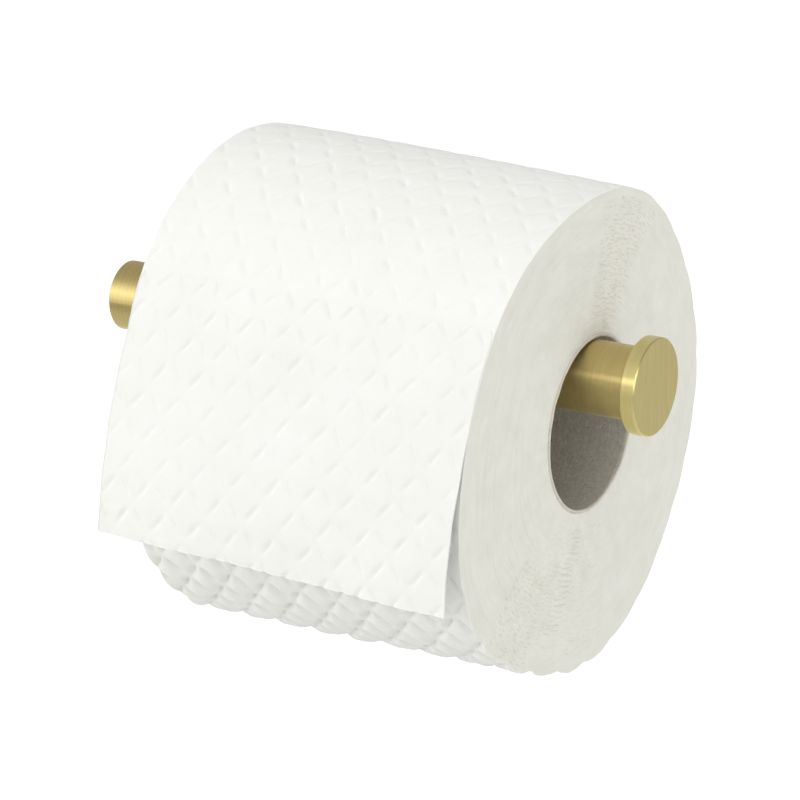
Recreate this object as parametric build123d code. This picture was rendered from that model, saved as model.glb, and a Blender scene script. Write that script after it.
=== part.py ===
from build123d import *
import os
from math import cos, radians, sin

# Wall-mounted toilet paper holder with a hung roll of paper. All sizes are in millimetres.
# The origin is the centre of the wall bracket's back face. +X runs along the bar towards its
# free end, +Y goes into the wall and +Z is up.

# Bar: a brass tube on a post, closed by a flush plug at one end and a wide cap at the other
BAR_LENGTH = 148.0
BAR_RADIUS = 9.0
BAR_BORE = 7.8
BAR_FROM_WALL = 75.0
BAR_LEFT = -22.0  # the post's axis is x = 0
BAR_RIGHT = BAR_LEFT + BAR_LENGTH
EDGE = 0.3  # broken edge on turned parts
SLIP = 0.02  # radial play of a pressed or threaded pair

# End cap and what holds it
CAP_RADIUS = 12.0
CAP_THICKNESS = 3.8
CAP_NECK_RADIUS = 8.3
CAP_NECK = 0.4  # shadow gap between tube and cap
CAP_BOSS_RADIUS = 7.6
CAP_BOSS = 8.0
STUD_RADIUS = 3.0
STUD_LENGTH = 20.0
INSERT_LENGTH = 14.0
INSERT_GAP = 1.0
PLUG_LENGTH = 6.0

# Post, rosette and tie bolt
POST_RADIUS = 8.0
POST_BORE = 5.0
ROSETTE_RADIUS = 25.0
ROSETTE_SKIRT = 2.4
ROSETTE_FRONT = 2.5
ROSETTE_DEPTH = 12.5  # from the wall to the rosette's front face
ROSETTE_WALL_GAP = 0.3
ROSETTE_EDGE = 0.8
REGISTER_RADIUS = 4.9  # low spigot that centres the post
REGISTER_HEIGHT = 2.0
BOLT_RADIUS = 3.0
BOLT_CLEARANCE = 3.2
BOLT_HEAD_RADIUS = 5.25
BOLT_HEAD_HEIGHT = 3.3
BOLT_SOCKET = 4.0  # across flats
BOLT_SOCKET_DEPTH = 2.0
BOLT_PAST_AXIS = 2.0
WASHER_RADIUS = 5.4
WASHER_THICKNESS = 1.6
WASHER_GAP = 1.0
CROSS_PLUG_LENGTH = 26.0
CROSS_PLUG_DEPTH = 3.0  # the tapped hole's end past the bar's axis

# Wall bracket and its fixings
BRACKET_RADIUS = 22.0
BRACKET_THICKNESS = 3.0
LUG_INNER = 16.0
LUG_OUTER = 21.5
LUG_WIDTH = 12.0
LUG_HEIGHT = 6.0
FIXING_SPACING = 30.0  # level pair of holes, which the screws use
SPARE_SPACING = 22.0  # upright pair, left free for walls that are drilled that way
RELIEF_RADIUS = 3.4  # for the wall plug's mouth, in the plate's back
RELIEF_DEPTH = 0.5
SCREW_RADIUS = 2.0
SCREW_HEAD_RADIUS = 4.0
SCREW_HEAD_HEIGHT = 2.2
SCREW_LENGTH = 36.0
SCREW_POINT = 4.0
SCREW_HOLE = 2.3
RECESS_LENGTH = 3.6
RECESS_WIDTH = 0.8
RECESS_DEPTH = 1.2
WALL_PLUG_RADIUS = 3.0
WALL_PLUG_LENGTH = 30.0
WALL_PLUG_SLOT = 0.8
WALL_PLUG_COLLAR = 9.0  # unslotted length at the mouth
GRUB_RADIUS = 2.5
GRUB_OUTER = 24.6  # distance of its outer end from the post's axis
GRUB_SHOULDER = 20.9
GRUB_TIP = 19.4
GRUB_TIP_RADIUS = 0.9
GRUB_SOCKET = 2.5
GRUB_SOCKET_DEPTH = 2.0
GRUB_PLACE = -6.0  # y of its axis

# Paper roll, which hangs by its core on top of the bar
ROLL_WIDTH = 96.0
ROLL_RADIUS = 60.25
CORE_BORE = 21.2
CORE_RADIUS = 22.0
ROLL_LEFT = 17.3
ROLL_RIGHT = ROLL_LEFT + ROLL_WIDTH
HANG_GAP = 0.3
ROLL_Z = -(CORE_BORE - BAR_RADIUS - HANG_GAP)

# Loose end of the paper: leaves the roll along its tangent, forwards and down
SHEET_LEAVES = 16.5  # degrees above the roll's centre height
SHEET_LENGTH = 44.2
SHEET_THICKNESS = 0.6
SHEET_GAP = 0.35
SHEET_LAP = 2.0  # how far it reaches back past the tangent point


def rod_x(radius, low, high, y=-BAR_FROM_WALL, z=0.0):
    """Round rod along X, on the bar's axis unless told otherwise."""
    return Pos((low + high) / 2, y, z) * Rot(0, 90, 0) * Cylinder(radius, high - low)


def rod_y(radius, low, high, x=0.0, z=0.0):
    """Round rod along Y, on the post's axis unless told otherwise."""
    return Pos(x, (low + high) / 2, z) * Rot(90, 0, 0) * Cylinder(radius, high - low)


def cone_y(radius_low, radius_high, low, high, x=0.0, z=0.0):
    """Cone along Y whose radius goes from radius_low at y = low to radius_high at y = high."""
    return Pos(x, (low + high) / 2, z) * Rot(-90, 0, 0) * Cone(radius_low, radius_high, high - low)


def hexagon(across_flats, depth):
    """Hexagonal prism along Z, centred, for a socket."""
    return extrude(RegularPolygon(across_flats / 2, 6, major_radius=False), depth / 2, both=True)


def ends(solid, axis):
    """Round edges at both ends of a rod."""
    edges = solid.edges().filter_by(GeomType.CIRCLE).group_by(axis)
    return edges[0] + edges[-1]


# --- bar ---------------------------------------------------------------------------------------


def bar_tube():
    tube = rod_x(BAR_RADIUS, BAR_LEFT, BAR_RIGHT)
    tube = chamfer(ends(tube, Axis.X), EDGE)
    tube -= rod_x(BAR_BORE, BAR_LEFT - 1, BAR_RIGHT + 1)
    return tube - rod_y(BOLT_CLEARANCE, -BAR_FROM_WALL, -BAR_FROM_WALL + 2 * BAR_RADIUS)


def bar_end_plug():
    plug = rod_x(BAR_BORE - SLIP, BAR_LEFT + EDGE / 2, BAR_LEFT + PLUG_LENGTH)
    return chamfer(ends(plug, Axis.X), EDGE)


def cross_plug():
    """Solid plug inside the tube, where the tie bolt is screwed in."""
    half = CROSS_PLUG_LENGTH / 2
    plug = chamfer(ends(rod_x(BAR_BORE - SLIP, -half, half), Axis.X), EDGE)
    hole_end = -BAR_FROM_WALL - CROSS_PLUG_DEPTH
    return plug - rod_y(BOLT_RADIUS + SLIP, hole_end, hole_end + 2 * BAR_RADIUS)


def end_cap():
    seat = BAR_RIGHT + CAP_NECK
    cap = chamfer(ends(rod_x(CAP_RADIUS, seat, seat + CAP_THICKNESS), Axis.X), EDGE)
    cap += rod_x(CAP_NECK_RADIUS, BAR_RIGHT, seat)
    cap += rod_x(CAP_BOSS_RADIUS, BAR_RIGHT - CAP_BOSS, BAR_RIGHT)
    return cap - rod_x(STUD_RADIUS + SLIP, BAR_RIGHT - CAP_BOSS - 1, BAR_RIGHT - 1)


def end_cap_insert():
    high = BAR_RIGHT - CAP_BOSS - INSERT_GAP
    insert = rod_x(BAR_BORE - SLIP, high - INSERT_LENGTH, high)
    insert = chamfer(ends(insert, Axis.X), EDGE)
    return insert - rod_x(STUD_RADIUS + SLIP, high - INSERT_LENGTH - 1, high + 1)


def end_cap_stud():
    high = BAR_RIGHT - 2 * INSERT_GAP
    return chamfer(ends(rod_x(STUD_RADIUS, high - STUD_LENGTH, high), Axis.X), EDGE)


# --- post and rosette --------------------------------------------------------------------------


def post():
    """Tube from the rosette to the bar, hollowed at its front end to sit on the bar."""
    body = rod_y(POST_RADIUS, -BAR_FROM_WALL, -ROSETTE_DEPTH)
    body -= rod_y(POST_BORE, -BAR_FROM_WALL - 1, -ROSETTE_DEPTH + 1)
    return body - rod_x(BAR_RADIUS + SLIP, -2 * POST_RADIUS, 2 * POST_RADIUS)


def rosette():
    """Cup that covers the bracket, with a tapped hole underneath for the grub screw."""
    cup = rod_y(ROSETTE_RADIUS, -ROSETTE_DEPTH, -ROSETTE_WALL_GAP)
    front = cup.edges().filter_by(GeomType.CIRCLE).group_by(Axis.Y)[0]
    cup = chamfer(front, ROSETTE_EDGE)
    cup -= rod_y(ROSETTE_RADIUS - ROSETTE_SKIRT, -ROSETTE_DEPTH + ROSETTE_FRONT, 1)
    cup += rod_y(REGISTER_RADIUS, -ROSETTE_DEPTH - REGISTER_HEIGHT, -ROSETTE_DEPTH)
    cup -= rod_y(BOLT_CLEARANCE, -ROSETTE_DEPTH - REGISTER_HEIGHT - 1, 0)
    return cup - Pos(0, GRUB_PLACE, -ROSETTE_RADIUS) * Cylinder(GRUB_RADIUS + SLIP, 4 * ROSETTE_SKIRT)


def spring_washer():
    inner = -ROSETTE_DEPTH + ROSETTE_FRONT
    ring = rod_y(WASHER_RADIUS, inner, inner + WASHER_THICKNESS)
    ring -= rod_y(BOLT_CLEARANCE, inner - 1, inner + WASHER_THICKNESS + 1)
    cut = Box(WASHER_GAP, 4 * WASHER_THICKNESS, 2 * WASHER_RADIUS)
    return ring - Pos(0, inner, WASHER_RADIUS) * Rot(0, 0, 20) * cut


def tie_bolt():
    """Button-head bolt through rosette, post and tube wall into the cross plug."""
    seat = -ROSETTE_DEPTH + ROSETTE_FRONT + WASHER_THICKNESS
    head = rod_y(BOLT_HEAD_RADIUS, seat, seat + BOLT_HEAD_HEIGHT)
    crown = head.edges().filter_by(GeomType.CIRCLE).group_by(Axis.Y)[-1]
    head = fillet(crown, BOLT_HEAD_HEIGHT / 2)
    shank = rod_y(BOLT_RADIUS, -BAR_FROM_WALL - BOLT_PAST_AXIS, seat)
    tip = shank.edges().filter_by(GeomType.CIRCLE).group_by(Axis.Y)[0]
    bolt = head + chamfer(tip, 2 * EDGE)
    socket = Rot(90, 0, 0) * hexagon(BOLT_SOCKET, 2 * BOLT_SOCKET_DEPTH)
    return bolt - Pos(0, seat + BOLT_HEAD_HEIGHT, 0) * socket


# --- wall side ---------------------------------------------------------------------------------


def screw_hole(x, z):
    """Countersunk hole through the bracket's plate."""
    front = -BRACKET_THICKNESS
    mouth = SCREW_HEAD_RADIUS + SCREW_HOLE - SCREW_RADIUS
    hole = rod_y(SCREW_HOLE, front - 1, 1, x, z)
    return hole + cone_y(mouth, SCREW_HOLE, front, front + SCREW_HEAD_HEIGHT, x, z)


def wall_bracket():
    """Round plate with a lug above and one below, and two pairs of countersunk screw holes."""
    plate = rod_y(BRACKET_RADIUS, -BRACKET_THICKNESS, 0)
    lug_ring = rod_y(LUG_OUTER, -BRACKET_THICKNESS - LUG_HEIGHT, -BRACKET_THICKNESS)
    lug_ring -= rod_y(LUG_INNER, -BRACKET_RADIUS, 0)
    plate += lug_ring & Box(LUG_WIDTH, 2 * BRACKET_RADIUS, 2 * BRACKET_RADIUS)
    for side in (-1, 1):
        plate -= screw_hole(side * FIXING_SPACING / 2, 0)
        plate -= rod_y(RELIEF_RADIUS, -RELIEF_DEPTH, 1, side * FIXING_SPACING / 2)
        plate -= screw_hole(0, side * SPARE_SPACING / 2)
    play = 2 * SLIP
    seat = Cylinder(GRUB_RADIUS + play, 2 * ROSETTE_SKIRT, align=(Align.CENTER, Align.CENTER, Align.MAX))
    plate -= Pos(0, GRUB_PLACE, -GRUB_SHOULDER + play) * seat
    return plate - grub_point(play)


def grub_point(play):
    """Cone point of the grub screw, or its dimple when play is more than nothing."""
    height = GRUB_SHOULDER - GRUB_TIP
    point = Cone(GRUB_RADIUS + play, GRUB_TIP_RADIUS + play, height)
    return Pos(0, GRUB_PLACE, -(GRUB_SHOULDER + GRUB_TIP) / 2 + play) * point


def grub_screw():
    length = GRUB_OUTER - GRUB_SHOULDER
    screw = Pos(0, GRUB_PLACE, -(GRUB_OUTER + GRUB_SHOULDER) / 2) * Cylinder(GRUB_RADIUS, length)
    screw += grub_point(0)
    return screw - Pos(0, GRUB_PLACE, -GRUB_OUTER) * hexagon(GRUB_SOCKET, 2 * GRUB_SOCKET_DEPTH)


def wall_screw(x):
    """Countersunk screw with a cross recess; its head is flush with the plate's front."""
    top = -BRACKET_THICKNESS
    straight = top + SCREW_LENGTH - SCREW_POINT
    screw = cone_y(SCREW_HEAD_RADIUS, SCREW_RADIUS, top, top + SCREW_HEAD_HEIGHT, x)
    screw += rod_y(SCREW_RADIUS, top + SCREW_HEAD_HEIGHT, straight, x)
    screw += cone_y(SCREW_RADIUS, SCREW_RADIUS / 5, straight, top + SCREW_LENGTH, x)
    recess = Box(RECESS_LENGTH, 2 * RECESS_DEPTH, RECESS_WIDTH)
    recess += Box(RECESS_WIDTH, 2 * RECESS_DEPTH, RECESS_LENGTH)
    return screw - Pos(x, top, 0) * Rot(0, 45, 0) * recess


def wall_plug(x):
    """Nylon plug, slotted both ways past its collar so that the screw spreads it."""
    plug = rod_y(WALL_PLUG_RADIUS, 0, WALL_PLUG_LENGTH, x)
    plug -= rod_y(SCREW_RADIUS + SLIP, -1, WALL_PLUG_LENGTH + 1, x)
    slot = Box(4 * WALL_PLUG_RADIUS, WALL_PLUG_LENGTH, WALL_PLUG_SLOT)
    slot += Box(WALL_PLUG_SLOT, WALL_PLUG_LENGTH, 4 * WALL_PLUG_RADIUS)
    slot_middle = WALL_PLUG_COLLAR + WALL_PLUG_LENGTH / 2
    joined = Box(4 * WALL_PLUG_RADIUS, WALL_PLUG_COLLAR / 3, 4 * WALL_PLUG_RADIUS)
    slot -= Pos(0, WALL_PLUG_LENGTH / 2 - WALL_PLUG_COLLAR - WALL_PLUG_COLLAR / 6, 0) * joined
    return plug - Pos(x, slot_middle, 0) * slot


def both_fixings(make):
    """One of a kind at each fixing point, as a group of two solids."""
    return Compound([make(x) for x in (-FIXING_SPACING / 2, FIXING_SPACING / 2)])


# --- paper -------------------------------------------------------------------------------------


def cardboard_core():
    core = rod_x(CORE_RADIUS, ROLL_LEFT, ROLL_RIGHT, z=ROLL_Z)
    return core - rod_x(CORE_BORE, ROLL_LEFT - 1, ROLL_RIGHT + 1, z=ROLL_Z)


def paper_roll():
    roll = rod_x(ROLL_RADIUS, ROLL_LEFT, ROLL_RIGHT, z=ROLL_Z)
    return roll - rod_x(CORE_RADIUS + SLIP, ROLL_LEFT - 1, ROLL_RIGHT + 1, z=ROLL_Z)


def loose_sheet():
    """Flat strip whose inner face stays clear of the roll; it slides in its own plane."""
    length = SHEET_LENGTH + SHEET_LAP
    strip = Box(ROLL_WIDTH, SHEET_THICKNESS, length)
    along = (SHEET_LENGTH - SHEET_LAP) / 2
    out = ROLL_RADIUS + SHEET_GAP + SHEET_THICKNESS / 2
    turn = radians(SHEET_LEAVES)
    y = -BAR_FROM_WALL - out * cos(turn) - along * sin(turn)
    z = ROLL_Z + out * sin(turn) - along * cos(turn)
    return Pos((ROLL_LEFT + ROLL_RIGHT) / 2, y, z) * Rot(-SHEET_LEAVES, 0, 0) * strip


NODES = {
    "bar_tube": bar_tube,
    "bar_end_plug": bar_end_plug,
    "cross_plug": cross_plug,
    "end_cap": end_cap,
    "end_cap_insert": end_cap_insert,
    "end_cap_stud": end_cap_stud,
    "post": post,
    "rosette": rosette,
    "spring_washer": spring_washer,
    "tie_bolt": tie_bolt,
    "grub_screw": grub_screw,
    "wall_bracket": wall_bracket,
    "wall_screws": lambda: both_fixings(wall_screw),
    "wall_plugs": lambda: both_fixings(wall_plug),
    "cardboard_core": cardboard_core,
    "paper_roll": paper_roll,
    "loose_sheet": loose_sheet,
}

os.makedirs("parts", exist_ok=True)
for name, make in NODES.items():
    export_step(make(), f"parts/{name}.step")
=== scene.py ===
import math

import bpy
import numpy as np
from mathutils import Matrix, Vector

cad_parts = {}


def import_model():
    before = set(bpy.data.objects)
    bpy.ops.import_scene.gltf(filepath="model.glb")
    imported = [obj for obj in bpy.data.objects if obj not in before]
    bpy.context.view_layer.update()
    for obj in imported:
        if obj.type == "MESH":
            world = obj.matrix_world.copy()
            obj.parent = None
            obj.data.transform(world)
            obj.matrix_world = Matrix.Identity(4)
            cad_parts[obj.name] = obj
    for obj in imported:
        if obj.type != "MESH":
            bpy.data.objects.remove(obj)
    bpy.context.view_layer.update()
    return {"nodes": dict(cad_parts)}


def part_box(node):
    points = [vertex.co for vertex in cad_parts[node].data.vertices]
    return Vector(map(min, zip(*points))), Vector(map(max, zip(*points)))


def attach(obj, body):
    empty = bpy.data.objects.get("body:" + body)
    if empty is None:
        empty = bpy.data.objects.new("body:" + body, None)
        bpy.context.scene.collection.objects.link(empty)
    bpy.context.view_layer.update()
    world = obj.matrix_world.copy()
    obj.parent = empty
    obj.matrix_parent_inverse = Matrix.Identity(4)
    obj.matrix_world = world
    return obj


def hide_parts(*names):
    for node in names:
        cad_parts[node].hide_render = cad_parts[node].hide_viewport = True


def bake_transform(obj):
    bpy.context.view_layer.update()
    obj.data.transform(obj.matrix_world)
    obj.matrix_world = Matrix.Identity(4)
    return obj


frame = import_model()

MM = 0.001

# --- the roll's place and size, from the frame ---------------------------------------------------

roll_low, roll_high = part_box("paper_roll")
core_low, core_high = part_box("cardboard_core")
bar_low, bar_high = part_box("bar_tube")
LEFT, RIGHT = roll_low.x, roll_high.x
CENTRE_Y = (roll_low.y + roll_high.y) / 2
CENTRE_Z = (roll_low.z + roll_high.z) / 2
RADIUS = (roll_high.z - roll_low.z) / 2
CORE_RADIUS = (core_high.z - core_low.z) / 2
CORE_WALL = 0.8 * MM
BAR_Y = (bar_low.y + bar_high.y) / 2
BAR_Z = (bar_low.z + bar_high.z) / 2

# Angles go round the roll's axis: 0 is the front at axis height, 90 the top, 180 the back.
# The roll isn't quite round. Each end has a mean radius, as its difference from RADIUS, and waves of
# one, two, three ... periods: (height, angle of the crest times the number of periods). The heights and
# crests were fitted to the outline that the photo shows, then rounded.
OUTLINE_POST_END = (0.9 * MM, ((0.6 * MM, -60), (0.9 * MM, 170), (0.4 * MM, 160)))
OUTLINE_CAP_END = (
    -0.6 * MM,
    ((3.7 * MM, -42), (1.2 * MM, -45), (0.9 * MM, -12), (0.4 * MM, -75), (0.7 * MM, -138)),
)
END_TO_END = 1.5  # power of the blend between the two outlines: over 1 keeps the post end's for longer

# Quilting: diamonds 10.2 mm wide and about 14 mm long, a whole number of them round the roll
CELL_WIDTH = 10.17 * MM
CELLS_ROUND = 27
RISING_PHASE, FALLING_PHASE = 0.08, 0.80
# Its puffs, strokes and wrinkles where the paper is pulled tight, and what is added where it is loose
TIGHT_PUFF, LOOSE_PUFF = 0.09 * MM, 1.0 * MM
TIGHT_CUT, LOOSE_CUT = 0.29 * MM, 0.63 * MM
UPPER_CUT = 0.09 * MM  # added to the strokes from the front upwards
TIGHT_WRINKLE, LOOSE_WRINKLE = 0.026 * MM, 0.082 * MM
STROKE_WIDTH, LOOSE_WIDTH = 0.064, 0.04  # as shares of the distance between two lines
FAINT_RISING, FAINT_FALLING = 0.45, 0.30  # how much fainter tight strokes get over the top and low down

# Where the loose end leaves the roll, and what is under it
SHEET_HIDDEN = 54  # the sheet's inner end, inside the roll
SHEET_SURFACES = 36  # from here down it is the outermost layer
SHEET_LEAVES = 22  # and from here it hangs free
SHEET_END_Z = (-23.4 * MM, -25.9 * MM)  # lower edge at the post's end and at the cap's end, from the axis
SHEET_THICKNESS = 0.35 * MM
SHEET_DIVE = 6 * MM  # how far its inner end dips into the roll
SHEET_SLOPES = (0.465, 0.08)  # forward slope where it leaves the roll, and at its lower edge
SHEET_EASE = 1.25  # power of the change from one slope to the other
SHEET_SINK = 0.25 * MM  # how far the roll's surface lies lower under the sheet
SHEET_SLACK = 0.16  # looseness of its embossing at the lower edge

rng = np.random.default_rng(7)


# --- shapes of the paper -------------------------------------------------------------------------


def wave_outline(angle, end):
    """Radius of the roll at one of its ends, for angles in radians."""
    mean, waves = end
    r = RADIUS + mean + 0 * angle
    for n, (height, crest) in enumerate(waves, start=1):
        r = r + height * np.cos(n * angle - math.radians(crest))
    return r


def outline(angle, x):
    """Radius of the roll's outermost layer, without its quilting."""
    mix = np.clip((x - LEFT) / (RIGHT - LEFT), 0, 1) ** END_TO_END
    return wave_outline(angle, OUTLINE_POST_END) * (1 - mix) + wave_outline(angle, OUTLINE_CAP_END) * mix


def ramp(value, low, high):
    """Smooth step from 0 at low to 1 at high. low may be the larger."""
    t = np.clip((value - low) / (high - low), 0, 1)
    return t * t * (3 - 2 * t)


def cell_noise(column, row, seed):
    """One steady random number from 0 to 1 for each whole column and row."""
    value = np.sin(column * 127.1 + row * 311.7 + seed * 74.7) * 43758.5453
    return value - np.floor(value)


def value_noise(a, b, seed):
    """Smooth noise from -1 to 1 over a plane, with one hump per unit."""
    a0, b0 = np.floor(a), np.floor(b)
    s, t = a - a0, b - b0
    s, t = s * s * (3 - 2 * s), t * t * (3 - 2 * t)
    low = cell_noise(a0, b0, seed) * (1 - s) + cell_noise(a0 + 1, b0, seed) * s
    high = cell_noise(a0, b0 + 1, seed) * (1 - s) + cell_noise(a0 + 1, b0 + 1, seed) * s
    return 2 * (low * (1 - t) + high * t) - 1


def stroke(off, between, width):
    """One line of short embossed strokes: off is the distance from the line, and between runs from 0
    to 1 from one crossing to the next."""
    return np.exp(-((off / width) ** 2)) * ramp(np.minimum(between, 1 - between), 0.12, 0.40)


def quilt(x, arc, slack):
    """Height of the embossed paper over its mean surface. arc is the length along the paper, and slack
    from 0, pulled tight, to 1, loose and puffy."""
    warp_u = 0.035 * value_noise(x / (7 * MM), arc / (6 * MM), 3)
    warp_v = 0.03 * value_noise(x / (6 * MM), arc / (8 * MM), 4)
    u = (x - LEFT) / CELL_WIDTH + warp_u
    v = arc / (2 * math.pi * RADIUS) * CELLS_ROUND + warp_v
    rising = u - v - RISING_PHASE  # whole numbers along the lines that rise to the right
    falling = u + v - FALLING_PHASE
    a, b = rising - np.floor(rising), falling - np.floor(falling)
    off_a, off_b = np.minimum(a, 1 - a), np.minimum(b, 1 - b)
    depth_a = 0.7 + 0.6 * cell_noise(np.round(rising), np.floor(falling), 1)
    depth_b = 0.7 + 0.6 * cell_noise(np.floor(rising), np.round(falling), 2)
    width = STROKE_WIDTH + LOOSE_WIDTH * slack
    # where the paper is tight, the falling strokes are faint low down and the rising ones over the top
    faint_a = 1 - FAINT_RISING * (1 - slack) * ramp(arc, 30 * MM, 52 * MM)
    faint_b = 1 - FAINT_FALLING * (1 - slack) * ramp(arc, 24 * MM, 4 * MM)
    cut = depth_a * faint_a * stroke(off_a, b, width) + depth_b * faint_b * stroke(off_b, a, width)
    puff = (16 * a * (1 - a) * b * (1 - b)) ** 0.5
    vary = 0.75 + 0.5 * cell_noise(np.floor(rising), np.floor(falling), 5)
    wrinkle = value_noise(x / (1.3 * MM), arc / (3.1 * MM), 6)
    wrinkle += 0.7 * value_noise(x / (2.7 * MM), arc / (1.5 * MM), 8)
    deep = TIGHT_CUT + UPPER_CUT * ramp(arc, 2 * MM, 26 * MM)
    height = (TIGHT_PUFF + LOOSE_PUFF * slack) * puff * vary - (deep + LOOSE_CUT * slack) * cut
    return height + (TIGHT_WRINKLE + LOOSE_WRINKLE * slack) * wrinkle


def slack_at(angle):
    """The paper is tight over the front and the top, loose underneath, and less loose behind."""
    degrees = np.degrees(angle)
    turned = (degrees + 180) % 360 - 180
    under = ramp(turned, -5, -38) * (1 - 0.65 * ramp(turned, -84, -108))
    behind = 0.35 * ramp(turned, 95, 150)
    return np.maximum(under, behind)


# Open gaps between the layers on a cut end, recessed and darkened with painted shade. They lie over each
# other in columns where the embossing of
# one turn meets that of the next: how many columns, the angle at the smaller and at the larger radius, the
# spread in degrees, the two radii, the step outwards, the range of lengths, and the range of depths, 0 to 1.
GAPS = (
    (17, (102, 113), 13, (26 * MM, 58 * MM), 1.2 * MM, (1.2 * MM, 3.0 * MM), (0.12, 0.8)),
    (4, (106, 103), 4, (22.6 * MM, 28 * MM), 0.8 * MM, (1.0 * MM, 2.4 * MM), (0.3, 0.8)),
    (2, (-78, -68), 3, (26 * MM, 51 * MM), 1.25 * MM, (3.0 * MM, 5.5 * MM), (0.35, 0.85)),
    (3, (-66, -58), 5, (34 * MM, 54 * MM), 1.2 * MM, (1.8 * MM, 3.6 * MM), (0.2, 0.6)),
    (13, (-47, -48), 10, (38 * MM, 60 * MM), 1.1 * MM, (1.0 * MM, 2.4 * MM), (0.15, 0.75)),
    (14, (-76, -76), 24, (26 * MM, 58 * MM), 1.3 * MM, (1.2 * MM, 3.0 * MM), (0.08, 0.4)),
    (22, (0, 0), 100, (24 * MM, 58 * MM), 1.8 * MM, (1.5 * MM, 4.0 * MM), (0.03, 0.2)),
    (3, (0, -10), 34, (30 * MM, 57 * MM), 3.4 * MM, (6 * MM, 22 * MM), (0.12, 0.4)),
)


def layer_gaps(angle, radii):
    """Depth of the gaps, from 0 to 1, at each of the radii, row by row, and each angle."""
    depth = np.zeros((len(radii), len(angle)))
    for columns, (first, last), spread, (low, high), step, (short, long), (faint, deep) in GAPS:
        for off in (np.arange(columns) + rng.uniform(0.2, 0.8, columns)) / columns * 2 - 1:
            radius = low + step * rng.uniform()
            while radius < high:
                share = (radius - low) / (high - low)
                centre = math.radians(first + (last - first) * share + spread * (off + rng.normal() * 0.07))
                length, level = rng.uniform(short, long), rng.uniform(faint, deep)
                away = np.abs((angle - centre + math.pi) % (2 * math.pi) - math.pi) * radius
                row = int(np.argmin(np.abs(radii - radius)))
                depth[row] = np.maximum(depth[row], level * ramp(away, length / 2, length / 4))
                radius += step * rng.uniform(0.6, 1.4)
    return depth


def polar(angle, r):
    """Y and Z of points round the roll's axis."""
    return CENTRE_Y - r * np.cos(angle), CENTRE_Z + r * np.sin(angle)


def periodic_noise(count, knots, scale=1.0):
    """Smooth random curve round a circle, count samples long, with about knots humps."""
    values = rng.normal(size=knots) * scale
    where = np.arange(count) / count * knots
    low = np.floor(where).astype(int)
    t = where - low
    t = t * t * (3 - 2 * t)
    return values[low % knots] * (1 - t) + values[(low + 1) % knots] * t


def mesh_object(name, vertices, faces, materials, face_material=None):
    mesh = bpy.data.meshes.new(name)
    mesh.from_pydata(vertices, [], faces)
    for material in materials:
        mesh.materials.append(material)
    if face_material is not None:
        mesh.polygons.foreach_set("material_index", np.asarray(face_material, np.int32))
    mesh.polygons.foreach_set("use_smooth", np.ones(len(mesh.polygons), bool))
    mesh.update()
    obj = bpy.data.objects.new(name, mesh)
    bpy.context.scene.collection.objects.link(obj)
    return obj


def grid_faces(rows, columns, wrap_rows, wrap_columns):
    """Quads of a grid whose vertices are numbered row by row, as a list of tuples."""
    r = np.arange(rows if wrap_rows else rows - 1)
    c = np.arange(columns if wrap_columns else columns - 1)
    rr, cc = np.meshgrid(r, c, indexing="ij")
    r1, c1 = (rr + 1) % rows, (cc + 1) % columns
    quads = np.stack([rr * columns + cc, rr * columns + c1, r1 * columns + c1, r1 * columns + cc], -1)
    return quads.reshape(-1, 4)


def add_attribute(obj, name, values):
    attribute = obj.data.attributes.new(name, "FLOAT", "POINT")
    attribute.data.foreach_set("value", np.asarray(values, np.float32).ravel())


# --- node materials ------------------------------------------------------------------------------


class Nodes:
    """A material's node tree, with short ways to add and link nodes."""

    def __init__(self, name, **principled):
        self.material = bpy.data.materials.new(name)
        self.material.use_nodes = True
        self.tree = self.material.node_tree
        self.shader = self.tree.nodes["Principled BSDF"]
        for socket, value in principled.items():
            self.shader.inputs[socket.replace("_", " ")].default_value = value

    def add(self, kind, inputs=None, **settings):
        node = self.tree.nodes.new("ShaderNode" + kind)
        for key, value in settings.items():
            setattr(node, key, value)
        for key, value in (inputs or {}).items():
            if isinstance(value, bpy.types.NodeSocket):
                self.tree.links.new(value, node.inputs[key])
            else:
                node.inputs[key].default_value = value
        return node

    def place(self, scale=(1, 1, 1), offset=(0, 0, 0)):
        """Position on the piece in metres, plus offset, times scale."""
        coordinate = self.add("TexCoord").outputs["Object"]
        moved = self.add("VectorMath", {0: coordinate, 1: offset}, operation="ADD").outputs[0]
        return self.add("VectorMath", {0: moved, 1: scale}, operation="MULTIPLY").outputs[0]

    def noise(self, vector, scale=1.0, detail=2.0, roughness=0.5):
        settings = {"Vector": vector, "Scale": scale, "Detail": detail, "Roughness": roughness}
        return self.add("TexNoise", settings).outputs["Fac"]

    def ramp(self, value, low, high, to_low=0.0, to_high=1.0):
        inputs = {0: value, 1: low, 2: high, 3: to_low, 4: to_high}
        return self.add("MapRange", inputs, clamp=True).outputs[0]

    def math(self, operation, a, b=0.0):
        return self.add("Math", {0: a, 1: b}, operation=operation).outputs[0]

    def mix(self, factor, a, b):
        node = self.add("Mix", data_type="RGBA")
        for socket, value in zip((node.inputs[0], node.inputs[6], node.inputs[7]), (factor, a, b)):
            if isinstance(value, bpy.types.NodeSocket):
                self.tree.links.new(value, socket)
            else:
                socket.default_value = value if isinstance(value, float) else (*value, 1.0)
        return node.outputs[2]

    def bump(self, height, strength, distance, normal=None):
        inputs = {"Height": height, "Strength": strength, "Distance": distance}
        if normal is not None:
            inputs["Normal"] = normal
        return self.add("Bump", inputs).outputs[0]

    def to_shader(self, **links):
        for socket, value in links.items():
            self.tree.links.new(value, self.shader.inputs[socket.replace("_", " ")])
        return self.material


# Paper lets some light through, so creases and overlaps are never dark.
SOFT_PAPER = {"Subsurface_Weight": 0.3, "Subsurface_Scale": 0.3 * MM, "Subsurface_Radius": (1.0, 1.0, 1.0)}


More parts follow.
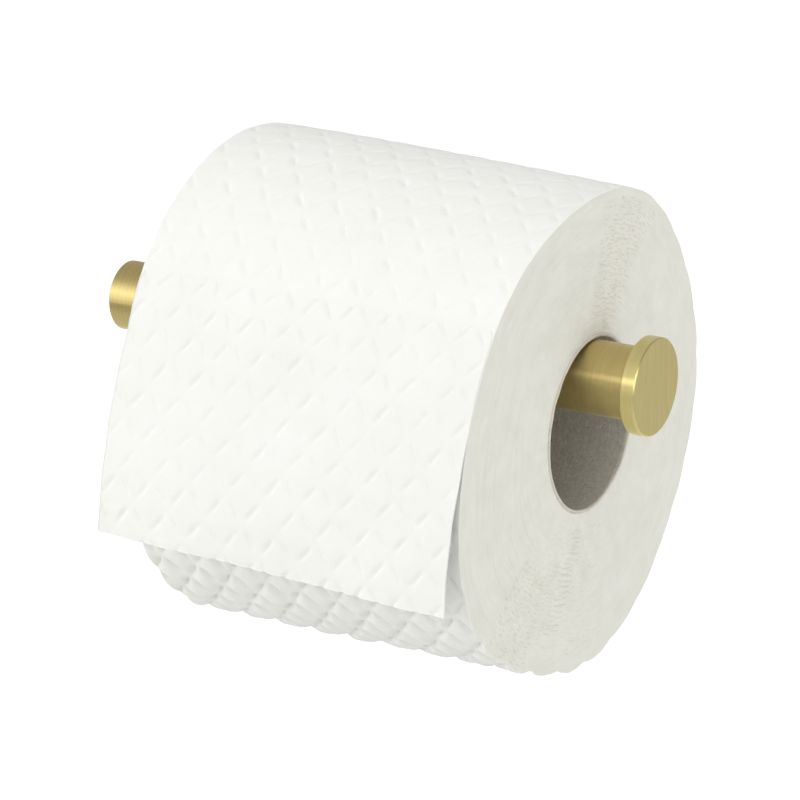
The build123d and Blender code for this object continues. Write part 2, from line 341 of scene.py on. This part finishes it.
def tissue():
    """Soft creped paper: a fine fibrous grain and a faint warm mottle."""
    n = Nodes("tissue", Roughness=0.95, Specular_IOR_Level=0.15, **SOFT_PAPER)
    mottle = n.noise(n.place((60, 60, 60)), 1.0, 3.0)
    colour = n.mix(n.ramp(mottle, 0.3, 0.7), (0.895, 0.90, 0.86), (0.925, 0.93, 0.895))
    crepe = n.noise(n.place((500, 1100, 1100)), 1.0, 4.0, 0.6)
    fibre = n.noise(n.place((2600, 1700, 1700)), 1.0, 3.0, 0.7)
    grain = n.bump(fibre, 0.35, 0.10 * MM, n.bump(crepe, 0.5, 0.16 * MM))
    return n.to_shader(Base_Color=colour, Normal=grain)


def layered_paper():
    """The wound roll's cut face: thin layers that show as lines along the winding, with short open
    gaps where the embossed layers don't lie flat, recessed and darkened with painted shade."""
    n = Nodes("layered_paper", Roughness=1.0, Specular_IOR_Level=0.1, **SOFT_PAPER)
    flat = n.place((0, 1, 1), (0, -CENTRE_Y, -CENTRE_Z))
    round_ = n.add("VectorMath", {0: flat}, operation="NORMALIZE").outputs[0]
    depth = n.add("Attribute", attribute_name="layer").outputs["Fac"]
    gap = n.add("Attribute", attribute_name="gap").outputs["Fac"]

    def winding(along, across):
        """Noise stretched along the layers: features are long where along is small."""
        scaled = n.add("VectorMath", {0: round_, 1: (0, along, along)}, operation="MULTIPLY").outputs[0]
        lift = n.add("CombineXYZ", {0: n.math("MULTIPLY", depth, across)}).outputs[0]
        return n.add("VectorMath", {0: scaled, 1: lift}, operation="ADD").outputs[0]

    lines = n.noise(winding(5.0, 2300.0), 1.0, 2.0, 0.6)
    soft = n.noise(winding(6.0, 160.0), 1.0, 3.0, 0.55)
    colour = n.mix(n.ramp(soft, 0.3, 0.7), (0.83, 0.825, 0.75), (0.885, 0.885, 0.825))
    colour = n.mix(n.ramp(lines, 0.30, 0.60, 0.22, 0.0), colour, (0.74, 0.72, 0.63))
    # painted shade: the open gaps are coloured darker and warmer, on top of their real recess
    colour = n.mix(n.math("MULTIPLY", gap, 0.7), colour, (0.62, 0.56, 0.41))
    return n.to_shader(Base_Color=colour, Normal=n.bump(lines, 0.3, 0.12 * MM))


def cardboard(name, dark, light, speck):
    """Grey recycled board with specks and long fibres."""
    n = Nodes(name, Roughness=0.95, Specular_IOR_Level=0.2)
    cloud = n.noise(n.place((950, 950, 950)), 1.0, 4.0, 0.65)
    specks = n.noise(n.place((900, 1500, 1500)), 1.0, 2.0, 0.5)
    pale = n.noise(n.place((700, 500, 500), (3, 1, 2)), 1.0, 2.0, 0.5)
    colour = n.mix(n.ramp(cloud, 0.3, 0.7), dark, light)
    colour = n.mix(n.ramp(specks, 0.66, 0.74, 0.0, 0.7), colour, speck)
    colour = n.mix(n.ramp(pale, 0.66, 0.76, 0.0, 0.35), colour, (0.62, 0.60, 0.54))
    fibre = n.noise(n.place((1100, 700, 700)), 1.0, 5.0, 0.65)
    return n.to_shader(Base_Color=colour, Normal=n.bump(fibre, 0.9, 0.45 * MM))


def brass_shader(name, around, roughness, dark, light):
    """Brushed brass. around gives the brush marks' noise coordinates, and the sheen stretches across
    the marks."""
    n = Nodes(name, Metallic=1.0, Anisotropic=0.93, Anisotropic_Rotation=0.25)
    marks, tangent = around(n)
    wear = n.noise(n.place((70, 70, 70)), 1.0, 3.0, 0.5)
    colour = n.mix(n.ramp(marks, 0.3, 0.7), dark, light)
    mixed = n.math("ADD", n.math("MULTIPLY", marks, 0.5), n.math("MULTIPLY", wear, 0.5))
    rough = n.ramp(mixed, 0.3, 0.7, roughness - 0.04, roughness + 0.06)
    n.tree.links.new(tangent, n.shader.inputs["Tangent"])
    return n.to_shader(Base_Color=colour, Roughness=rough, Normal=n.bump(marks, 0.2, 0.006 * MM))


def turned(n):
    """Marks that run round the bar's axis, as a lathe leaves them."""
    marks = n.noise(n.place((1700, 50, 50)), 1.0, 4.0, 0.65)
    return marks, n.add("Tangent", direction_type="RADIAL", axis="X").outputs[0]


def turned_and_faced(n):
    """Marks round the rim, and straight up and down on the flat faces."""
    facing = n.add("SeparateXYZ", {0: n.add("NewGeometry").outputs["Normal"]}).outputs[0]
    flat = n.ramp(n.math("ABSOLUTE", facing), 0.85, 0.95)
    rim, round_ = turned(n)
    face = n.noise(n.place((80, 1500, 80)), 1.0, 4.0, 0.6)
    marks = n.add("Mix", {0: flat, 2: rim, 3: face}, data_type="FLOAT").outputs[0]
    across = n.add("CombineXYZ", {2: 1.0}).outputs[0]
    tangent = n.add("Mix", {0: flat, 4: round_, 5: across}, data_type="VECTOR").outputs[1]
    return marks, tangent


def plain_metal(name, dark, light, roughness, metallic=1.0):
    """Pressed or plated metal with a fine even grain."""
    n = Nodes(name, Metallic=metallic)
    grain = n.noise(n.place((1500, 1500, 1500)), 1.0, 4.0, 0.6)
    cloud = n.noise(n.place((90, 90, 90)), 1.0, 3.0, 0.5)
    colour = n.mix(n.ramp(cloud, 0.3, 0.7), dark, light)
    rough = n.ramp(grain, 0.3, 0.7, roughness - 0.06, roughness + 0.08)
    return n.to_shader(Base_Color=colour, Roughness=rough, Normal=n.bump(grain, 0.15, 0.03 * MM))


def nylon():
    n = Nodes("nylon", Roughness=0.5)
    cloud = n.noise(n.place((400, 400, 400)), 1.0, 3.0)
    colour = n.mix(n.ramp(cloud, 0.3, 0.7), (0.42, 0.43, 0.44), (0.50, 0.51, 0.52))
    return n.to_shader(Base_Color=colour, Normal=n.bump(cloud, 0.2, 0.05 * MM))


# The bar's brass is a darker copy of the cap's: painted shade standing in for the dimmer reflections the bar
# shows.
SHADED_BAR_DARK, SHADED_BAR_LIGHT = (0.58, 0.46, 0.185), (0.67, 0.54, 0.235)
CAP_DARK, CAP_LIGHT = (0.76, 0.645, 0.275), (0.85, 0.735, 0.345)


# --- pieces --------------------------------------------------------------------------------------


def wound_roll():
    """The paper as one closed ring: its profile is swept round the axis at every angle."""
    around, across, rings, corner = 720, 164, 150, 3
    angle = np.arange(around) / around * 2 * math.pi
    core = CORE_RADIUS + 0.02 * MM
    lip = 0.2 * MM  # softness of the roll's outer edge
    dished = 0.3 * MM  # how far the middle of a cut end lies back
    inset = 0.15 * MM  # of a whole cut end
    gap_depth = 0.16 * MM
    shift = periodic_noise(around, 23, 0.06 * MM)

    def outer(x):
        degrees = (np.degrees(angle) + 180) % 360 - 180
        under = ramp(degrees, SHEET_SURFACES, SHEET_LEAVES + 2) * (1 - ramp(degrees, -70, -175))
        step = np.where(degrees < SHEET_SURFACES, under, 0) * SHEET_SINK
        return outline(angle, x) + quilt(x, angle * RADIUS, slack_at(angle)) - step

    columns_x, columns_r, depth, gaps, part = [], [], [], [], []

    def add(x, r, layer, gap, which):
        columns_x.append(x + 0 * angle)
        columns_r.append(r + 0 * angle)
        depth.append(layer + 0 * angle)
        gaps.append(gap + 0 * angle)
        part.append(which)

    def face(x_face, side, order):
        """One cut end; side is -1 at the post and 1 at the cap, and order is 1 from the core outwards or -1
        back to it. Each ring is a layer or two of paper, and in places the layers gape a little."""
        edge = outer(x_face) - lip
        shares = np.linspace(0, 1, rings)
        open_ = layer_gaps(angle, core + (RADIUS - core) * shares)
        crumple = np.zeros(around)
        rows = []
        for share, gap in zip(shares, open_):
            crumple = 0.4 * crumple + periodic_noise(around, 200, 0.012 * MM)
            lines = periodic_noise(around, 17, 0.022 * MM) + rng.normal() * 0.02 * MM
            dish = dished * math.sin(math.pi * share)
            rows.append((core + (edge - core) * share, crumple + lines - dish - gap_depth * gap, share, gap))
        for r, lift, share, gap in rows if order > 0 else rows[::-1]:
            add(x_face + side * (lift - inset), r, share * (RADIUS - core), gap, 1)

    def rounded(x_face, side, order):
        """The soft corner between a cut end and the outside."""
        steps = [(i + 1) / (corner + 1) * math.pi / 2 for i in range(corner)]
        for t in steps if order > 0 else steps[::-1]:
            x = x_face - side * lip * (1 - math.cos(t))
            add(x + side * shift * math.cos(t), outer(x_face) - lip * (1 - math.sin(t)), RADIUS - core, 0, 0)

    face(LEFT, -1, 1)
    rounded(LEFT, -1, 1)
    for i in range(across):
        x = LEFT + lip + (RIGHT - LEFT - 2 * lip) * i / (across - 1)
        add(x, outer(x), RADIUS - core, 0, 0)
    rounded(RIGHT, 1, -1)
    face(RIGHT, 1, -1)

    xs, rs = np.stack(columns_x, 1), np.stack(columns_r, 1)
    ys, zs = polar(angle[:, None], rs)
    faces = grid_faces(around, xs.shape[1], True, True)
    column = faces[:, 0] % xs.shape[1]
    which = np.asarray(part)[column]
    vertices = np.stack([xs, ys, zs], -1).reshape(-1, 3)
    roll = mesh_object("wound_paper", vertices.tolist(), faces.tolist(), [tissue_look, layer_look], which)
    add_attribute(roll, "layer", np.stack(depth, 1))
    add_attribute(roll, "gap", np.stack(gaps, 1))
    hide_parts("paper_roll")
    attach(roll, "roll")


def sheet_surface(x, row):
    """Points and outward normals of the loose sheet's mid surface. row goes from 0, the hidden end,
    to 1, the lower edge; x and row are arrays of one shape."""
    start = math.radians(SHEET_LEAVES)
    hidden = math.radians(SHEET_HIDDEN)
    wound = RADIUS * (hidden - start)
    along = (x - LEFT) / (RIGHT - LEFT)
    end_z = SHEET_END_Z[0] * (1 - along) + SHEET_END_Z[1] * along
    r0 = outline(np.full_like(x, start), x)
    y0, z0 = -r0 * math.cos(start), r0 * math.sin(start)
    drop = z0 - end_z
    free = drop * 1.04
    total = wound + free
    travelled = row * total
    # wound part
    angle = hidden - np.minimum(travelled, wound) / RADIUS
    degrees = np.degrees(angle)
    r = outline(angle, x) - SHEET_DIVE * ramp(degrees, SHEET_SURFACES, SHEET_HIDDEN)
    # free part: the slope forwards eases from the tangent's to nearly nothing
    t = np.clip((travelled - wound) / free, 0, 1)
    first, last = SHEET_SLOPES
    power = SHEET_EASE
    forward = drop * (last * t + (first - last) * (t - t ** (power + 1) / (power + 1)))
    slope = last + (first - last) * (1 - t**power)
    on_roll = travelled < wound
    y = np.where(on_roll, -r * np.cos(angle), y0 - forward)
    z = np.where(on_roll, r * np.sin(angle), z0 - drop * t)
    length = np.sqrt(1 + slope**2)
    ny = np.where(on_roll, -np.cos(angle), -1 / length)
    nz = np.where(on_roll, np.sin(angle), slope / length)
    arc = RADIUS * hidden - travelled
    return y + CENTRE_Y, z + CENTRE_Z, ny, nz, arc, t


def loose_end():
    """The paper's loose end, from inside the outermost turn to its torn-off edge."""
    across, rows = 176, 176
    lip = 0.15 * MM
    u = np.linspace(0, 1, across)[None, :] + np.zeros((rows, 1))
    row = np.linspace(0, 1, rows)[:, None] + np.zeros((1, across))
    x = LEFT + lip + (RIGHT - LEFT - 2 * lip) * u
    y, z, ny, nz, arc, t = sheet_surface(x, row)
    clear = 0.03 * MM  # off the turn below
    lift = quilt(x, arc, SHEET_SLACK * t) + clear
    broad = 0.5 * MM * np.sin(2 * math.pi * (1.3 * u + 0.15))
    narrow = 0.25 * MM * np.sin(2 * math.pi * (3.1 * u + 0.6))
    sway = t * (broad + narrow)
    front_y, front_z = y + ny * (lift + sway), z + nz * (lift + sway)
    back = lift + sway - SHEET_THICKNESS
    back_y, back_z = y + ny * back, z + nz * back
    # the side edges wander a little, and the inner end is narrower than the roll
    wander = 0.08 * MM * np.sin(arc / (7 * MM)) + 0.05 * MM * np.sin(arc / (2.3 * MM) + 1)
    pull = np.abs(2 * u - 1) ** 12
    inside = ramp(arc, RADIUS * math.radians(SHEET_SURFACES - 2), RADIUS * math.radians(SHEET_SURFACES + 5))
    tuck = 2.5 * MM * inside * np.abs(2 * u - 1)
    x = x + (wander * pull - tuck) * np.sign(u - 0.5)
    front = np.stack([x, front_y, front_z], -1).reshape(-1, 3)
    rear = np.stack([x, back_y, back_z], -1).reshape(-1, 3)
    count = rows * across
    faces = grid_faces(rows, across, False, False)
    # the rim joins the two sides
    ids = np.arange(count).reshape(rows, across)
    rim = np.concatenate([ids[0, :-1], ids[:-1, -1], ids[-1, :0:-1], ids[:0:-1, 0]])
    next_ = np.roll(rim, -1)
    sides = np.stack([rim, rim + count, next_ + count, next_], -1)
    quads = np.concatenate([faces[:, ::-1], faces + count, sides])
    sheet = mesh_object("loose_end", np.concatenate([front, rear]).tolist(), quads.tolist(), [tissue_look])
    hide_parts("loose_sheet")
    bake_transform(sheet)


def core_tube():
    """Cardboard tube: spiral joint inside, and slightly uneven cut edges."""
    around, across = 360, 150
    angle = np.arange(around) / around * 2 * math.pi
    inner, outer = CORE_RADIUS - CORE_WALL, CORE_RADIUS - 0.02 * MM
    proud = 0.25 * MM  # how far it stands out of the paper
    rounding = 0.3 * MM
    edge = periodic_noise(around, 40, 0.05 * MM)
    turn_length = 75 * MM  # length along the tube of one turn of the joint
    xs, rs, part = [], [], []

    def add(x, r, which):
        xs.append(x + 0 * angle)
        rs.append(r + 0 * angle)
        part.append(which)

    half = CORE_WALL / 2
    for side, x_face in ((-1, LEFT), (1, RIGHT)):
        turns = np.linspace(0, math.pi, 9)
        for t in turns if side < 0 else turns:
            r = inner + half - half * math.cos(t) if side < 0 else outer - half + half * math.cos(t)
            add(x_face + side * (proud - rounding + rounding * math.sin(t) + edge), r, 1)
        if side < 0:
            add(LEFT + 4 * MM, outer, 1)
            add(RIGHT - 4 * MM, outer, 1)
    for i in range(1, across):
        x = RIGHT + (LEFT - RIGHT) * i / across
        phase = (angle / (2 * math.pi) - (x - LEFT) / turn_length + 0.5) % 1 - 0.5
        gap = np.abs(phase) * 2 * math.pi * inner
        overlap = 0.18 * MM * np.exp(-((gap / (0.5 * MM)) ** 2))
        add(x, inner + overlap, 0)
    xs, rs = np.stack(xs, 1), np.stack(rs, 1)
    ys, zs = polar(angle[:, None], rs)
    faces = grid_faces(around, xs.shape[1], True, True)
    which = np.asarray(part)[faces[:, 0] % xs.shape[1]]
    vertices = np.stack([xs, ys, zs], -1).reshape(-1, 3)
    core = mesh_object("core_tube", vertices.tolist(), faces.tolist(), [board_look, board_edge_look], which)
    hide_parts("cardboard_core")
    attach(core, "roll")


# --- stage ---------------------------------------------------------------------------------------


def aim(obj, target):
    obj.rotation_euler = (Vector(target) - obj.location).to_track_quat("-Z", "Y").to_euler()


def direction(azimuth, elevation):
    """Unit vector from the object towards a viewer or lamp: 0 is in front, 90 to the right."""
    a, e = math.radians(azimuth), math.radians(elevation)
    return Vector((math.sin(a) * math.cos(e), -math.cos(a) * math.cos(e), math.sin(e)))


VIEW_AZIMUTH, VIEW_ELEVATION, VIEW_DISTANCE = 30.72, 18.23, 806.1 * MM
VIEW_TARGET = (2.0 * MM, -12.75 * MM, -10.1 * MM)  # from the bar's axis at the roll's middle
VIEW_LENS = 148.9  # in millimetres, for a 36 mm wide sensor


def camera():
    roll_x = (LEFT + RIGHT) / 2
    target = Vector((roll_x, BAR_Y, BAR_Z)) + Vector(VIEW_TARGET)
    data = bpy.data.cameras.new("camera")
    data.sensor_width = 36.0
    data.lens = VIEW_LENS
    data.clip_start, data.clip_end = 0.05, 50
    cam = bpy.data.objects.new("camera", data)
    bpy.context.scene.collection.objects.link(cam)
    cam.location = target + direction(VIEW_AZIMUTH, VIEW_ELEVATION) * VIEW_DISTANCE
    aim(cam, target)
    bpy.context.scene.camera = cam


def softbox(name, azimuth, elevation, distance, size, power, target, glossy=True):
    """A soft rectangular lamp, aimed at target. With glossy off, metal doesn't mirror it."""
    data = bpy.data.lights.new(name, "AREA")
    data.shape = "RECTANGLE"
    data.size, data.size_y = size
    data.energy = power
    lamp = bpy.data.objects.new(name, data)
    bpy.context.scene.collection.objects.link(lamp)
    lamp.location = Vector(target) + direction(azimuth, elevation) * distance
    aim(lamp, target)
    lamp.visible_camera = False
    lamp.visible_glossy = glossy


# Brightness of the studio at each angle round the bar: 0 is level in front, 90 overhead, 180 level
# behind. It is brightest in front, and even from 100 degrees on. STUDIO_LEFT and STUDIO_RIGHT are its
# levels towards the two sides, and STUDIO_BLUE is its blue as a share of its red and green.
STUDIO = ((0, 1.0), (42, 0.98), (52, 0.88), (60, 0.79), (76, 0.63), (90, 0.58), (100, 0.56))
STUDIO_LEFT, STUDIO_RIGHT = 1.13, 0.64
STUDIO_BLUE = 0.985


def world():
    """A studio that is bright all round, more so above the front and on the left."""
    made = bpy.data.worlds.new("studio")
    bpy.context.scene.world = made
    made.use_nodes = True
    tree = made.node_tree

    def add(kind, links, **settings):
        node = tree.nodes.new("ShaderNode" + kind)
        for key, value in settings.items():
            setattr(node, key, value)
        for key, value in links.items():
            if isinstance(value, bpy.types.NodeSocket):
                tree.links.new(value, node.inputs[key])
            else:
                node.inputs[key].default_value = value
        return node

    split = add("SeparateXYZ", {0: add("TexCoord", {}).outputs["Generated"]}).outputs
    back = add("Math", {0: split[1], 1: -1.0}, operation="MULTIPLY").outputs[0]
    angle = add("Math", {0: split[2], 1: back}, operation="ARCTAN2").outputs[0]
    share = add("Math", {0: angle, 1: 1 / math.pi}, operation="MULTIPLY").outputs[0]
    bands = add("ValToRGB", {0: share})
    stops = bands.color_ramp.elements
    stops.remove(stops[1])
    stops[0].position, stops[0].color = 0.0, (STUDIO[0][1],) * 3 + (1,)
    for degrees, level in STUDIO[1:]:
        stops.new(degrees / 180).color = (level, level, level * STUDIO_BLUE, 1)
    side = add("MapRange", {0: split[0], 1: -1.0, 2: 1.0, 3: STUDIO_LEFT, 4: STUDIO_RIGHT})
    tree.links.new(bands.outputs[0], tree.nodes["Background"].inputs["Color"])
    tree.links.new(side.outputs[0], tree.nodes["Background"].inputs["Strength"])


def floor():
    """Pale floor, with a soft patch of background light behind the object as the camera sees it."""
    size, drop = 24.0, 0.9
    glow, wide, far = 0.6, (1.1, 2.4), (0.0, 1.4)  # of the patch, with the distances where it fades
    mesh = bpy.data.meshes.new("floor")
    corners = [(-size, -size, -drop), (size, -size, -drop), (size, size, -drop), (-size, size, -drop)]
    mesh.from_pydata(corners, [], [(0, 1, 2, 3)])
    n = Nodes("floor", Roughness=1.0, Specular_IOR_Level=0.0)
    n.shader.inputs["Base Color"].default_value = (0.90, 0.90, 0.89, 1)
    n.shader.inputs["Emission Color"].default_value = (1, 1, 1, 1)
    place = n.place()
    away, across = -direction(VIEW_AZIMUTH, 0), direction(VIEW_AZIMUTH + 90, 0)
    behind = n.add("VectorMath", {0: place, 1: away}, operation="DOT_PRODUCT").outputs["Value"]
    aside = n.add("VectorMath", {0: place, 1: across}, operation="DOT_PRODUCT").outputs["Value"]
    patch = n.ramp(n.math("ABSOLUTE", aside), *wide, glow, 0.0)
    patch = n.math("MULTIPLY", n.ramp(behind, *far), patch)
    mesh.materials.append(n.to_shader(Emission_Strength=patch))
    obj = bpy.data.objects.new("floor", mesh)
    bpy.context.scene.collection.objects.link(obj)


# --- making --------------------------------------------------------------------------------------

bpy.context.scene.view_settings.view_transform = "Standard"
camera()
world()
floor()
middle_of_roll = ((LEFT + RIGHT) / 2, CENTRE_Y, CENTRE_Z)
softbox("key", -52, 11, 1.3, (1.2, 1.1), 3.9, middle_of_roll)
softbox("strip", 2, 22, 1.5, (1.0, 0.34), 2.1, middle_of_roll)
softbox("side", 88, 6, 1.5, (0.7, 0.7), 5.2, middle_of_roll)
softbox("overhead", 60, 76, 1.3, (1.2, 1.2), 4.0, middle_of_roll, glossy=False)

tissue_look = tissue()
layer_look = layered_paper()
board_look = cardboard("board", (0.47, 0.455, 0.40), (0.64, 0.62, 0.56), (0.30, 0.28, 0.24))
board_edge_look = cardboard("board_edge", (0.66, 0.62, 0.53), (0.76, 0.73, 0.65), (0.45, 0.40, 0.32))
wound_roll()
core_tube()
loose_end()

# painted shade: the bar, its plug, the post and the rosette get the darker copy of the brass
shaded_brushed_brass = brass_shader("shaded_brushed_brass", turned, 0.32, SHADED_BAR_DARK, SHADED_BAR_LIGHT)
cap_brass = brass_shader("cap_brass", turned_and_faced, 0.33, CAP_DARK, CAP_LIGHT)
inner_brass = plain_metal("inner_brass", (0.70, 0.57, 0.27), (0.78, 0.65, 0.34), 0.35)
steel = plain_metal("zinc_steel", (0.58, 0.59, 0.61), (0.68, 0.69, 0.70), 0.38)
black_steel = plain_metal("black_steel", (0.035, 0.035, 0.038), (0.06, 0.06, 0.062), 0.45, 0.6)
plastic = nylon()
LOOKS = {
    "bar_tube": shaded_brushed_brass,
    "bar_end_plug": shaded_brushed_brass,
    "end_cap": cap_brass,
    "post": shaded_brushed_brass,
    "rosette": shaded_brushed_brass,
    "cross_plug": inner_brass,
    "end_cap_insert": inner_brass,
    "end_cap_stud": steel,
    "spring_washer": steel,
    "tie_bolt": steel,
    "wall_bracket": steel,
    "wall_screws": steel,
    "grub_screw": black_steel,
    "wall_plugs": plastic,
}
for node, look in LOOKS.items():
    mesh = frame["nodes"][node].data
    mesh.materials.clear()
    mesh.materials.append(look)
